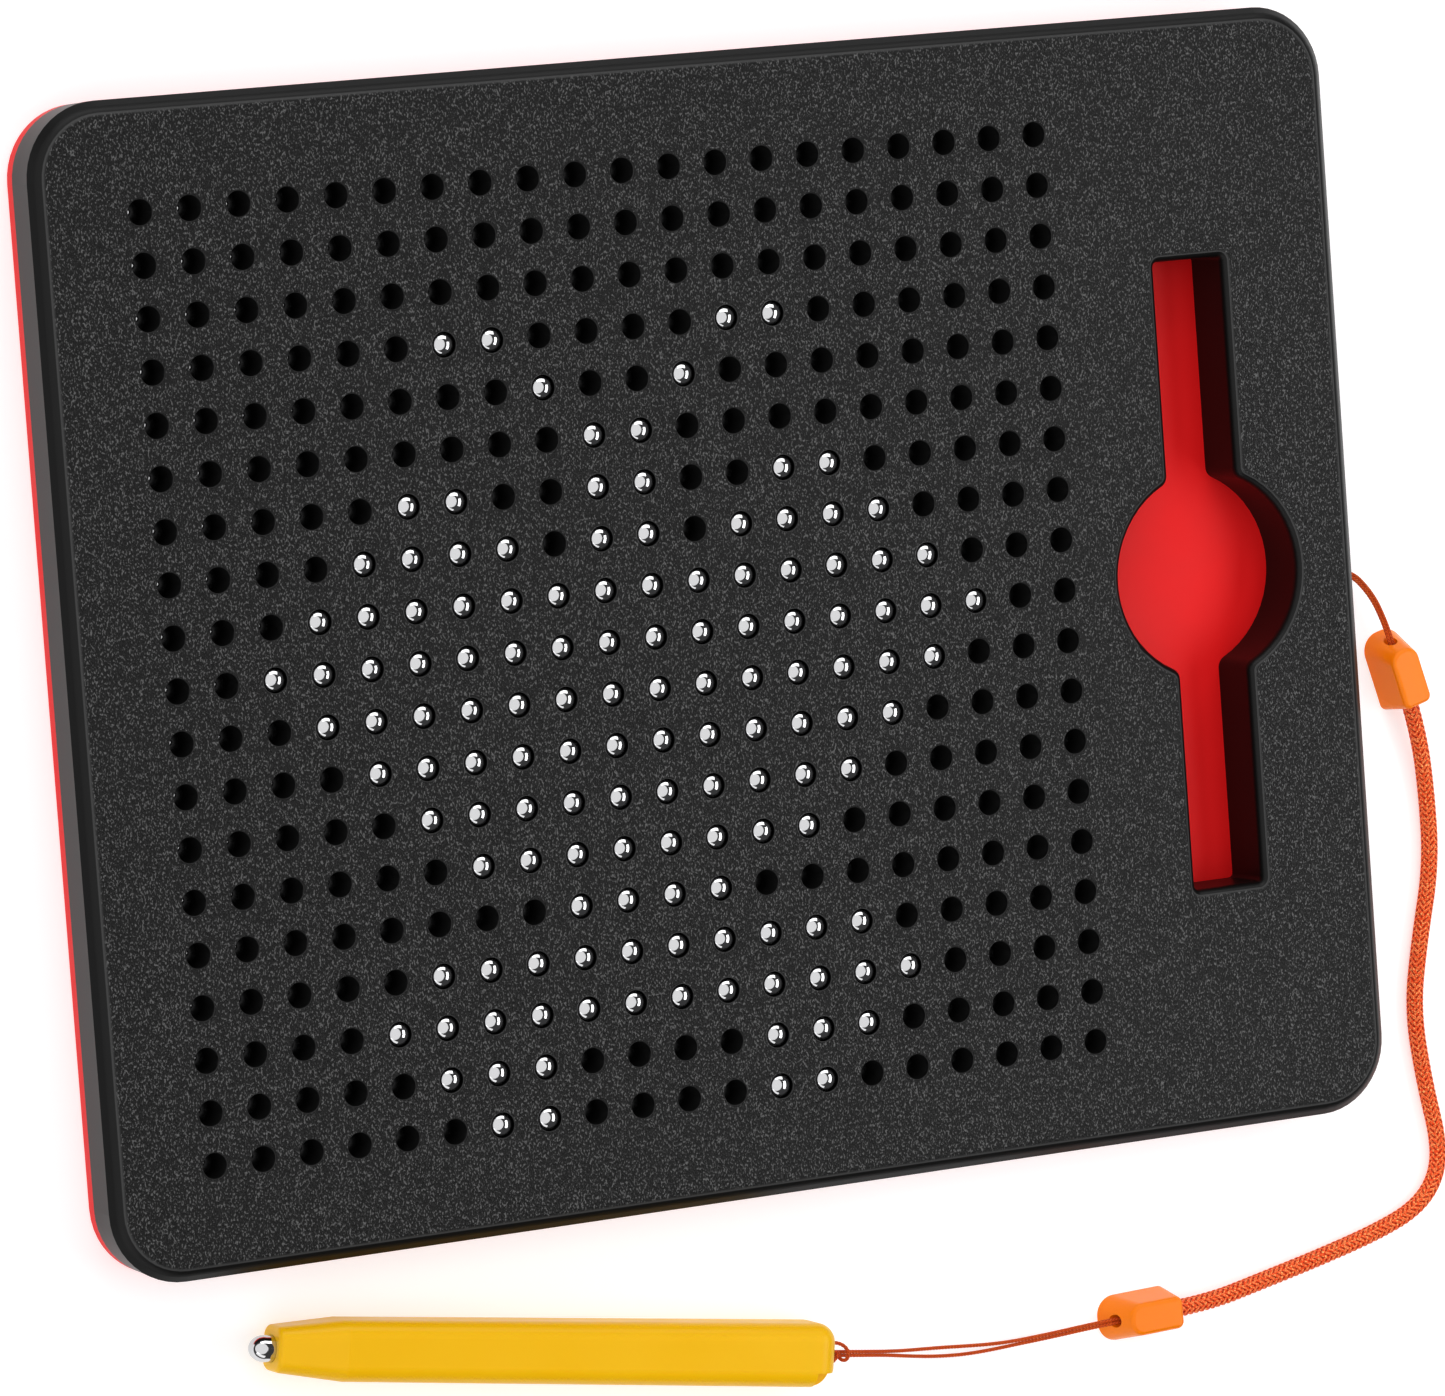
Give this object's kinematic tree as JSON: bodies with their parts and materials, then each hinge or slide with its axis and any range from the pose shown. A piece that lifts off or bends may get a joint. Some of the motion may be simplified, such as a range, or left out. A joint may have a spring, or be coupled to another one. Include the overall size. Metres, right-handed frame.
{
  "type": "magnetic bead drawing board",
  "caption": "Flat bead drawing board: steel balls in a grid of lipped holes rise to a magnetic stylus, with a stylus recess and a braided lanyard.",
  "frame": {"origin": "middle of the flat rear face, which the board rests on", "axes": "+Z out of the front face, +Y up the board, +X to its right, where the stylus recess is"},
  "size_m": [0.2474, 0.2179, 0.0118],
  "materials": {
    "black_case": "fine leather-like moulded grain, smooth bevel",
    "red_case": "satin moulded plastic",
    "black_tray": "plain moulded plastic",
    "screw_steel": "zinc plated",
    "polished_steel": "polished",
    "yellow_plastic": "satin moulded plastic",
    "magnet_plating": "nickel plated",
    "orange_string": "fine twisted cord",
    "orange_plastic": "satin moulded plastic",
    "orange_braid": "tubular braid"
  },
  "bodies": {
    "board": {"front_cover": "black_case", "rear_cover": "red_case", "bead_tray": "black_tray", "cover_screws": "screw_steel", "lanyard_knot": "orange_string", "lanyard_board_string": "orange_string", "lanyard_board_clasp": "orange_plastic", "lanyard_strap": "orange_braid", "lanyard_stylus_clasp": "orange_plastic", "lanyard_stylus_string": "orange_string"},
    "stylus": {"stylus_barrel": "yellow_plastic", "stylus_cap": "yellow_plastic", "stylus_tip": "polished_steel", "stylus_magnet": "magnet_plating"},
    "lowered_beads_row_01": {"lowered_beads_row_01": "polished_steel"},
    "lowered_beads_row_02": {"lowered_beads_row_02": "polished_steel"},
    "lowered_beads_row_03": {"lowered_beads_row_03": "polished_steel"},
    "raised_beads_row_04": {"raised_beads_row_04": "polished_steel"},
    "lowered_beads_row_04": {"lowered_beads_row_04": "polished_steel"},
    "raised_beads_row_05": {"raised_beads_row_05": "polished_steel"},
    "lowered_beads_row_05": {"lowered_beads_row_05": "polished_steel"},
    "raised_beads_row_06": {"raised_beads_row_06": "polished_steel"},
    "lowered_beads_row_06": {"lowered_beads_row_06": "polished_steel"},
    "raised_beads_row_07": {"raised_beads_row_07": "polished_steel"},
    "lowered_beads_row_07": {"lowered_beads_row_07": "polished_steel"},
    "raised_beads_row_08": {"raised_beads_row_08": "polished_steel"},
    "lowered_beads_row_08": {"lowered_beads_row_08": "polished_steel"},
    "raised_beads_row_09": {"raised_beads_row_09": "polished_steel"},
    "lowered_beads_row_09": {"lowered_beads_row_09": "polished_steel"},
    "raised_beads_row_10": {"raised_beads_row_10": "polished_steel"},
    "lowered_beads_row_10": {"lowered_beads_row_10": "polished_steel"},
    "raised_beads_row_11": {"raised_beads_row_11": "polished_steel"},
    "lowered_beads_row_11": {"lowered_beads_row_11": "polished_steel"},
    "raised_beads_row_12": {"raised_beads_row_12": "polished_steel"},
    "lowered_beads_row_12": {"lowered_beads_row_12": "polished_steel"},
    "raised_beads_row_13": {"raised_beads_row_13": "polished_steel"},
    "lowered_beads_row_13": {"lowered_beads_row_13": "polished_steel"},
    "raised_beads_row_14": {"raised_beads_row_14": "polished_steel"},
    "lowered_beads_row_14": {"lowered_beads_row_14": "polished_steel"},
    "raised_beads_row_15": {"raised_beads_row_15": "polished_steel"},
    "lowered_beads_row_15": {"lowered_beads_row_15": "polished_steel"},
    "raised_beads_row_16": {"raised_beads_row_16": "polished_steel"},
    "lowered_beads_row_16": {"lowered_beads_row_16": "polished_steel"},
    "raised_beads_row_17": {"raised_beads_row_17": "polished_steel"},
    "lowered_beads_row_17": {"lowered_beads_row_17": "polished_steel"},
    "raised_beads_row_18": {"raised_beads_row_18": "polished_steel"},
    "lowered_beads_row_18": {"lowered_beads_row_18": "polished_steel"},
    "raised_beads_row_19": {"raised_beads_row_19": "polished_steel"},
    "lowered_beads_row_19": {"lowered_beads_row_19": "polished_steel"}
  },
  "joints": [
    {"name": "stylus_lift", "type": "slide", "parent": "board", "child": "stylus", "axis": [0, 0, 1], "range_m": [0, 0.02]},
    {"name": "lowered_beads_row_01_slide", "type": "slide", "parent": "board", "child": "lowered_beads_row_01", "axis": [0, 0, 1], "range_m": [0, 0.005]},
    {"name": "lowered_beads_row_02_slide", "type": "slide", "parent": "board", "child": "lowered_beads_row_02", "axis": [0, 0, 1], "range_m": [0, 0.005]},
    {"name": "lowered_beads_row_03_slide", "type": "slide", "parent": "board", "child": "lowered_beads_row_03", "axis": [0, 0, 1], "range_m": [0, 0.005]},
    {"name": "raised_beads_row_04_slide", "type": "slide", "parent": "board", "child": "raised_beads_row_04", "axis": [0, 0, 1], "range_m": [-0.005, 0]},
    {"name": "lowered_beads_row_04_slide", "type": "slide", "parent": "board", "child": "lowered_beads_row_04", "axis": [0, 0, 1], "range_m": [0, 0.005]},
    {"name": "raised_beads_row_05_slide", "type": "slide", "parent": "board", "child": "raised_beads_row_05", "axis": [0, 0, 1], "range_m": [-0.005, 0]},
    {"name": "lowered_beads_row_05_slide", "type": "slide", "parent": "board", "child": "lowered_beads_row_05", "axis": [0, 0, 1], "range_m": [0, 0.005]},
    {"name": "raised_beads_row_06_slide", "type": "slide", "parent": "board", "child": "raised_beads_row_06", "axis": [0, 0, 1], "range_m": [-0.005, 0]},
    {"name": "lowered_beads_row_06_slide", "type": "slide", "parent": "board", "child": "lowered_beads_row_06", "axis": [0, 0, 1], "range_m": [0, 0.005]},
    {"name": "raised_beads_row_07_slide", "type": "slide", "parent": "board", "child": "raised_beads_row_07", "axis": [0, 0, 1], "range_m": [-0.005, 0]},
    {"name": "lowered_beads_row_07_slide", "type": "slide", "parent": "board", "child": "lowered_beads_row_07", "axis": [0, 0, 1], "range_m": [0, 0.005]},
    {"name": "raised_beads_row_08_slide", "type": "slide", "parent": "board", "child": "raised_beads_row_08", "axis": [0, 0, 1], "range_m": [-0.005, 0]},
    {"name": "lowered_beads_row_08_slide", "type": "slide", "parent": "board", "child": "lowered_beads_row_08", "axis": [0, 0, 1], "range_m": [0, 0.005]},
    {"name": "raised_beads_row_09_slide", "type": "slide", "parent": "board", "child": "raised_beads_row_09", "axis": [0, 0, 1], "range_m": [-0.005, 0]},
    {"name": "lowered_beads_row_09_slide", "type": "slide", "parent": "board", "child": "lowered_beads_row_09", "axis": [0, 0, 1], "range_m": [0, 0.005]},
    {"name": "raised_beads_row_10_slide", "type": "slide", "parent": "board", "child": "raised_beads_row_10", "axis": [0, 0, 1], "range_m": [-0.005, 0]},
    {"name": "lowered_beads_row_10_slide", "type": "slide", "parent": "board", "child": "lowered_beads_row_10", "axis": [0, 0, 1], "range_m": [0, 0.005]},
    {"name": "raised_beads_row_11_slide", "type": "slide", "parent": "board", "child": "raised_beads_row_11", "axis": [0, 0, 1], "range_m": [-0.005, 0]},
    {"name": "lowered_beads_row_11_slide", "type": "slide", "parent": "board", "child": "lowered_beads_row_11", "axis": [0, 0, 1], "range_m": [0, 0.005]},
    {"name": "raised_beads_row_12_slide", "type": "slide", "parent": "board", "child": "raised_beads_row_12", "axis": [0, 0, 1], "range_m": [-0.005, 0]},
    {"name": "lowered_beads_row_12_slide", "type": "slide", "parent": "board", "child": "lowered_beads_row_12", "axis": [0, 0, 1], "range_m": [0, 0.005]},
    {"name": "raised_beads_row_13_slide", "type": "slide", "parent": "board", "child": "raised_beads_row_13", "axis": [0, 0, 1], "range_m": [-0.005, 0]},
    {"name": "lowered_beads_row_13_slide", "type": "slide", "parent": "board", "child": "lowered_beads_row_13", "axis": [0, 0, 1], "range_m": [0, 0.005]},
    {"name": "raised_beads_row_14_slide", "type": "slide", "parent": "board", "child": "raised_beads_row_14", "axis": [0, 0, 1], "range_m": [-0.005, 0]},
    {"name": "lowered_beads_row_14_slide", "type": "slide", "parent": "board", "child": "lowered_beads_row_14", "axis": [0, 0, 1], "range_m": [0, 0.005]},
    {"name": "raised_beads_row_15_slide", "type": "slide", "parent": "board", "child": "raised_beads_row_15", "axis": [0, 0, 1], "range_m": [-0.005, 0]},
    {"name": "lowered_beads_row_15_slide", "type": "slide", "parent": "board", "child": "lowered_beads_row_15", "axis": [0, 0, 1], "range_m": [0, 0.005]},
    {"name": "raised_beads_row_16_slide", "type": "slide", "parent": "board", "child": "raised_beads_row_16", "axis": [0, 0, 1], "range_m": [-0.005, 0]},
    {"name": "lowered_beads_row_16_slide", "type": "slide", "parent": "board", "child": "lowered_beads_row_16", "axis": [0, 0, 1], "range_m": [0, 0.005]},
    {"name": "raised_beads_row_17_slide", "type": "slide", "parent": "board", "child": "raised_beads_row_17", "axis": [0, 0, 1], "range_m": [-0.005, 0]},
    {"name": "lowered_beads_row_17_slide", "type": "slide", "parent": "board", "child": "lowered_beads_row_17", "axis": [0, 0, 1], "range_m": [0, 0.005]},
    {"name": "raised_beads_row_18_slide", "type": "slide", "parent": "board", "child": "raised_beads_row_18", "axis": [0, 0, 1], "range_m": [-0.005, 0]},
    {"name": "lowered_beads_row_18_slide", "type": "slide", "parent": "board", "child": "lowered_beads_row_18", "axis": [0, 0, 1], "range_m": [0, 0.005]},
    {"name": "raised_beads_row_19_slide", "type": "slide", "parent": "board", "child": "raised_beads_row_19", "axis": [0, 0, 1], "range_m": [-0.005, 0]},
    {"name": "lowered_beads_row_19_slide", "type": "slide", "parent": "board", "child": "lowered_beads_row_19", "axis": [0, 0, 1], "range_m": [0, 0.005]}
  ]
}
